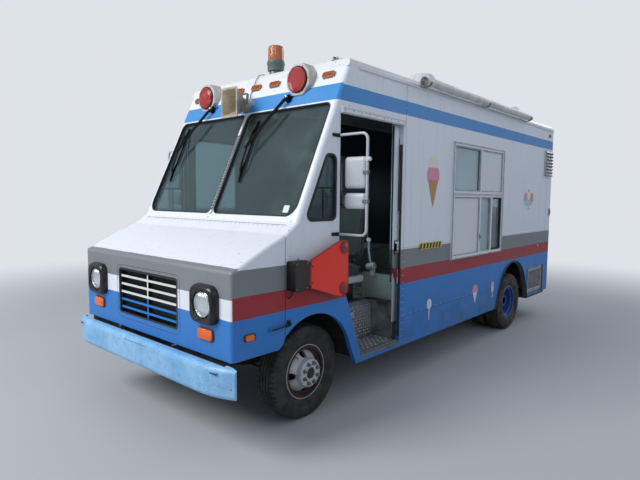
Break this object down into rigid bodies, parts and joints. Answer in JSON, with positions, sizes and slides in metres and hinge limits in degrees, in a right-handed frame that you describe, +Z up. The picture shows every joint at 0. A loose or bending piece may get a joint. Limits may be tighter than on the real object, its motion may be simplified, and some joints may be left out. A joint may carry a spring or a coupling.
{
  "type": "ice cream truck",
  "caption": "Walk-in van fitted as an ice cream truck, with a tilting nose, sliding side doors, a swing-out sign, serving windows, roof beacon and rolled awning.",
  "frame": {"origin": "on the ground, on the centre line, midway between the front bumper's face and the rear step's edge", "axes": "+X to the truck's left, +Y to its rear, +Z up"},
  "size_m": [2.758, 6.64, 3.2569],
  "materials": {
    "body_paint": "worn gloss",
    "roof_paint": "worn gloss",
    "bumper_paint": "worn brushed-on paint",
    "chassis_black": "dusty satin",
    "underbody_black": "dusty matt",
    "cast_iron": "oily",
    "tank_steel": "dusty satin",
    "exhaust_steel": "rusty",
    "tread_plate": "worn diamond plate",
    "window_aluminium": "satin",
    "glass": "clear",
    "mirror_white": "gloss",
    "black_plastic": "satin",
    "lamp_bezel": "gloss",
    "amber_lens": "moulded lens",
    "red_lens": "moulded lens",
    "horn_beige": "dusty satin",
    "awning_vinyl": "weathered vinyl",
    "vent_white": "weathered",
    "vent_metal": "weathered",
    "sign_red": "satin",
    "dash_grey": "grained",
    "seat_vinyl": "worn vinyl",
    "cabinet_white": "gloss enamel",
    "tyre": "dusty",
    "rim_grey": "worn",
    "rim_blue": "dusty"
  },
  "bodies": {
    "truck": {"chassis_frame": "chassis_black", "front_axle": "chassis_black", "rear_axle": "chassis_black", "leaf_springs": "chassis_black", "driveline": "cast_iron", "fuel_tank": "tank_steel", "exhaust": "exhaust_steel", "floor": "tread_plate", "wheelhouses": "underbody_black", "cowl": "body_paint", "roof": "roof_paint", "rear_wall": "body_paint", "body_glass": "glass", "serving_windows": "window_aluminium", "front_bumper": "bumper_paint", "rear_step": "chassis_black", "mirrors": "mirror_white", "wipers": "black_plastic", "warning_lamps": "red_lens", "marker_lamps": "amber_lens", "loudspeaker": "horn_beige", "beacon": "amber_lens", "awning": "awning_vinyl", "roof_vents": "vent_white", "side_vents": "vent_metal", "stop_box": "black_plastic", "dashboard": "dash_grey", "engine_cover": "dash_grey", "driver_seat": "seat_vinyl", "cabinets": "cabinet_white", "side_wall_left": "body_paint", "side_wall_right": "body_paint"},
    "left_door": {"door_left": "body_paint", "door_glass_left": "glass"},
    "right_door": {"door_right": "body_paint", "door_glass_right": "glass"},
    "left_rear_door": {"rear_door_left": "body_paint", "rear_glass_left": "glass"},
    "right_rear_door": {"rear_door_right": "body_paint", "rear_glass_right": "glass"},
    "nose": {"nose_shell": "body_paint", "grille": "body_paint", "headlights": "lamp_bezel", "turn_signals": "amber_lens"},
    "sign_arm": {"stop_sign": "sign_red"},
    "steering_wheel_body": {"steering_wheel": "black_plastic"},
    "tie_rod_body": {"tie_rod": "chassis_black"},
    "left_knuckle": {"knuckle_left": "chassis_black"},
    "right_knuckle": {"knuckle_right": "chassis_black"},
    "left_front_wheel": {"front_tyre_left": "tyre", "front_rim_left": "rim_grey"},
    "right_front_wheel": {"front_tyre_right": "tyre", "front_rim_right": "rim_grey"},
    "left_rear_wheels": {"rear_tyres_left": "tyre", "rear_rims_left": "rim_blue"},
    "right_rear_wheels": {"rear_tyres_right": "tyre", "rear_rims_right": "rim_blue"}
  },
  "joints": [
    {"name": "steer_left", "type": "hinge", "parent": "truck", "child": "left_knuckle", "pos_m": [0.69, -2.34, 0.386], "axis": [0, 0, 1], "range_deg": [-30, 30]},
    {"name": "steer_right", "type": "hinge", "parent": "truck", "child": "right_knuckle", "pos_m": [-0.69, -2.34, 0.386], "axis": [0, 0, 1], "range_deg": [-30, 30]},
    {"name": "tie_rod_slide", "type": "slide", "parent": "truck", "child": "tie_rod_body", "axis": [-1, 0, 0], "range_m": [-0.1, 0.1]},
    {"name": "steering_wheel_turn", "type": "hinge", "parent": "truck", "child": "steering_wheel_body", "pos_m": [0.515, -2.125, 1.5], "axis": [0, 0.8651, 0.5015], "range_deg": [-365, 365]},
    {"name": "front_wheel_left_spin", "type": "hinge", "parent": "left_knuckle", "child": "left_front_wheel", "pos_m": [0.8475, -2.34, 0.386], "axis": [1, 0, 0], "continuous": true},
    {"name": "front_wheel_right_spin", "type": "hinge", "parent": "right_knuckle", "child": "right_front_wheel", "pos_m": [-0.8475, -2.34, 0.386], "axis": [1, 0, 0], "continuous": true},
    {"name": "rear_wheels_left_spin", "type": "hinge", "parent": "truck", "child": "left_rear_wheels", "pos_m": [0.838, 1.648, 0.386], "axis": [1, 0, 0], "continuous": true},
    {"name": "rear_wheels_right_spin", "type": "hinge", "parent": "truck", "child": "right_rear_wheels", "pos_m": [-0.838, 1.648, 0.386], "axis": [1, 0, 0], "continuous": true},
    {"name": "left_door_slide", "type": "slide", "parent": "truck", "child": "left_door", "axis": [0, 1, 0], "range_m": [-0.88, 0]},
    {"name": "right_door_slide", "type": "slide", "parent": "truck", "child": "right_door", "axis": [0, 1, 0], "range_m": [0, 0.88]},
    {"name": "left_rear_door_open", "type": "hinge", "parent": "truck", "child": "left_rear_door", "pos_m": [0.668, 3.19, 1.68], "axis": [0, 0, -1], "range_deg": [0, 110]},
    {"name": "right_rear_door_open", "type": "hinge", "parent": "truck", "child": "right_rear_door", "pos_m": [-0.668, 3.19, 1.68], "axis": [0, 0, 1], "range_deg": [0, 110]},
    {"name": "nose_tilt", "type": "hinge", "parent": "truck", "child": "nose", "pos_m": [0, -3.226, 0.688], "axis": [1, 0, 0], "range_deg": [0, 50]},
    {"name": "sign_swing", "type": "hinge", "parent": "truck", "child": "sign_arm", "pos_m": [1.157, -2.548, 1.227], "axis": [0, 0, -1], "range_deg": [0, 90]}
  ],
  "couplings": [
    {"joint": "steer_right", "follows": "steer_left", "ratio": 1},
    {"joint": "tie_rod_slide", "follows": "steer_left", "m_per_rad": 0.165},
    {"joint": "steering_wheel_turn", "follows": "steer_left", "ratio": 12}
  ]
}
